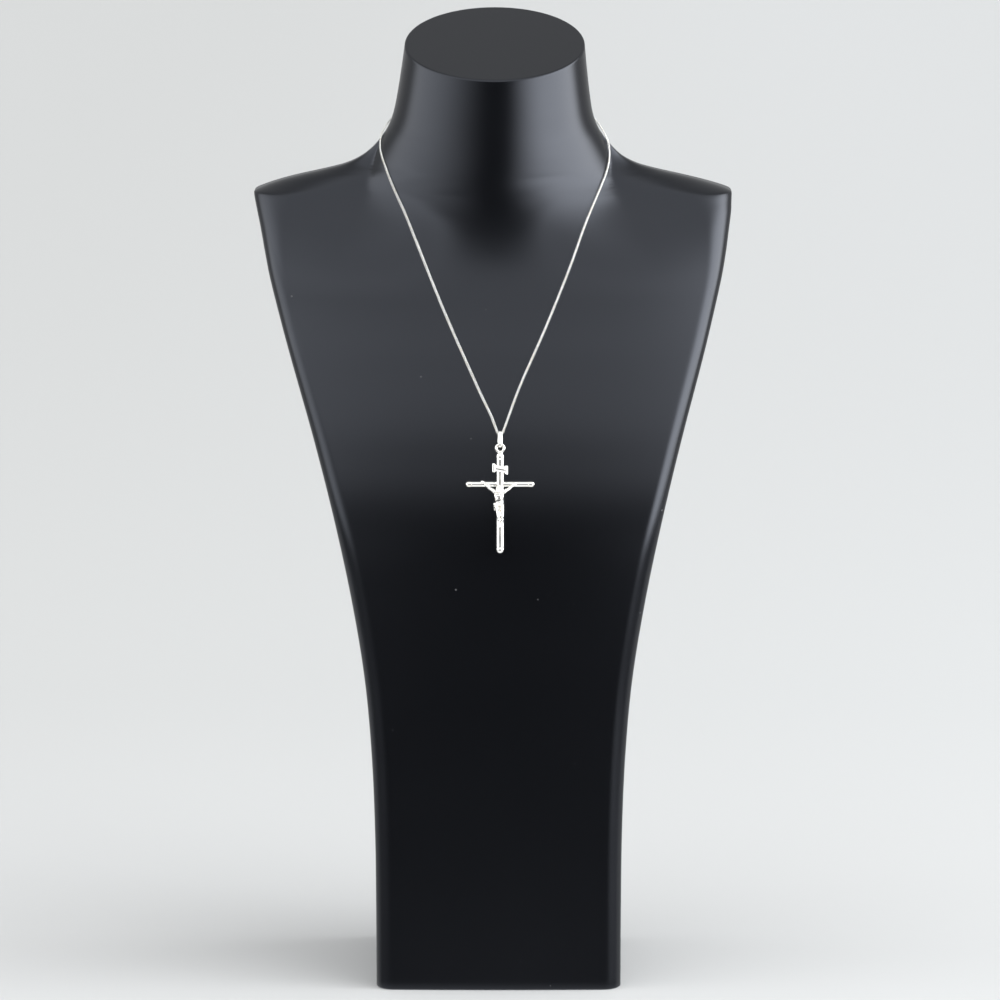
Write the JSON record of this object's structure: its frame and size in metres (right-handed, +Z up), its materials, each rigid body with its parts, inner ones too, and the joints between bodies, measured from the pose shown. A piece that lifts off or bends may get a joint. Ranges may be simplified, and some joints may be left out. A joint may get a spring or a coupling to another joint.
{
  "type": "crucifix pendant on a neck bust",
  "caption": "Silver tube crucifix with a cast figure, hanging by a tapered bail on a fine chain round a plain black display bust.",
  "frame": {"origin": "centre of the underside of the bust's foot", "axes": "+Z is up, the bust faces -Y, +X is to the right as seen from the front"},
  "size_m": [0.241, 0.1137, 0.4897],
  "materials": {
    "black_gloss": "black, smooth, soft gloss",
    "silver": "polished silver",
    "cast_silver": "cast silver, polished on the high places"
  },
  "bodies": {
    "stand": {"bust": "black_gloss", "chain": "silver", "clasp": "silver"},
    "hanger": {"bail": "silver"},
    "pendant": {"cross": "silver", "titulus": "silver", "corpus": "cast_silver"}
  },
  "joints": [
    {"name": "bail_swing", "type": "hinge", "parent": "stand", "child": "hanger", "pos_m": [0.0008, -0.03868, 0.288], "axis": [-1, 0, 0], "range_deg": [0, 40]},
    {"name": "pendant_swing", "type": "hinge", "parent": "hanger", "child": "pendant", "pos_m": [0.0008, -0.04011, 0.283], "axis": [-1, 0, 0], "range_deg": [0, 70]}
  ]
}
